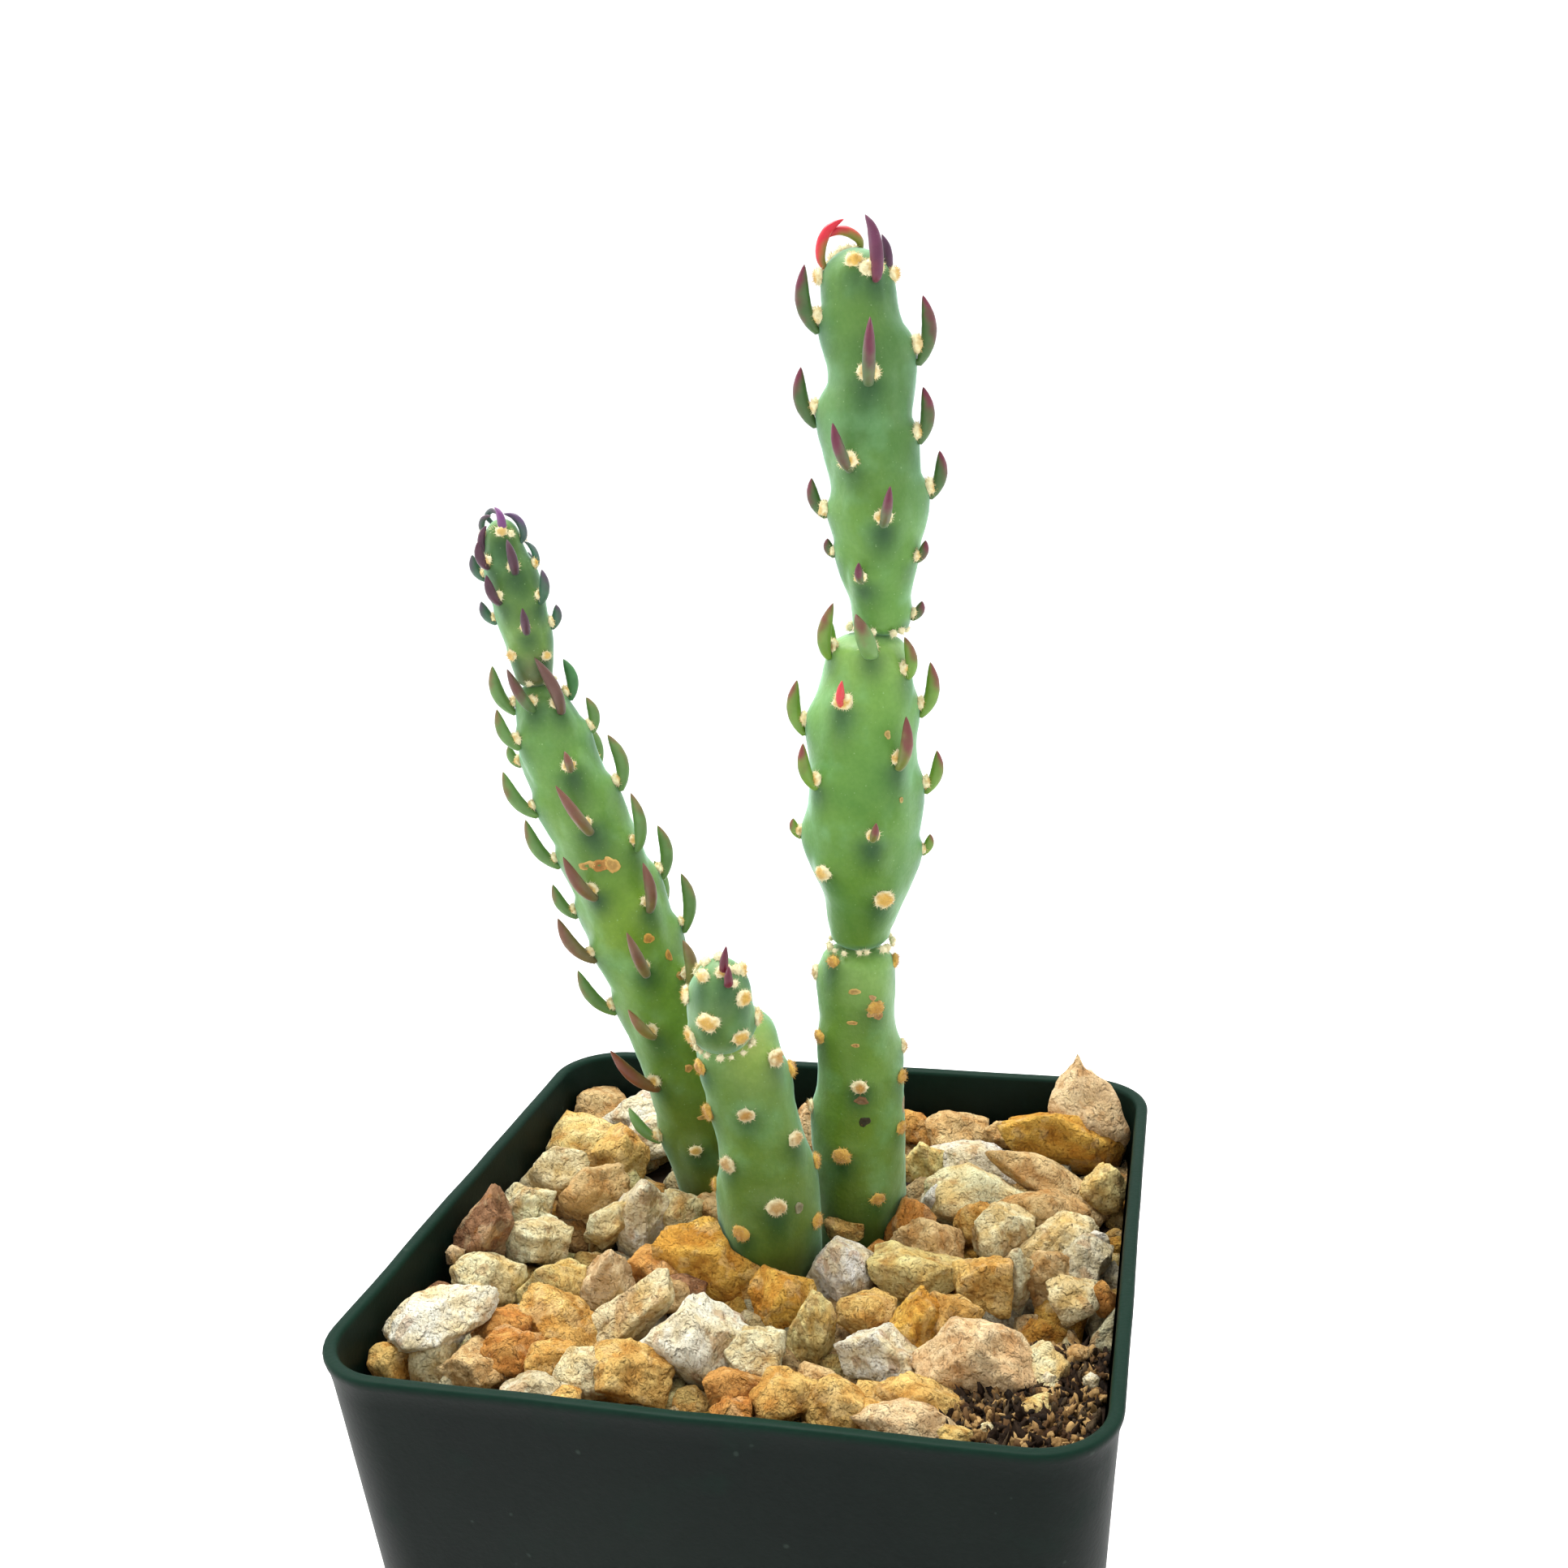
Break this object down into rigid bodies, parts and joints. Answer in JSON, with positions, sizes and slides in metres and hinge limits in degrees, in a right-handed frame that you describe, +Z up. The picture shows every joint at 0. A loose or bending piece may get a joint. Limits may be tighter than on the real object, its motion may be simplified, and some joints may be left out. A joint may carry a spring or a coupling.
{
  "type": "potted brittle prickly pear",
  "caption": "Small leafy cactus of slender jointed stems standing in gravel in a square nursery pot.",
  "frame": {"origin": "middle of the pot's foot, on the surface that it stands on", "axes": "+Z up through the plant, -Y towards the side that the picture shows"},
  "size_m": [0.064, 0.064, 0.1461],
  "materials": {
    "pot_plastic": "dark green, satin, slightly waxy",
    "soil": "dark crumbly potting soil",
    "gravel": "dry broken stone, cream to ochre",
    "cactus_skin": "waxy green skin, cream felt, purple leaves"
  },
  "bodies": {
    "root": {"pot": "pot_plastic", "soil": "soil", "gravel": "gravel", "tall_stem_lower": "cactus_skin", "tall_stem_middle": "cactus_skin", "tall_stem_upper": "cactus_skin", "left_stem_lower": "cactus_skin", "left_stem_upper": "cactus_skin", "small_stem_lower": "cactus_skin", "small_stem_upper": "cactus_skin"}
  },
  "joints": []
}
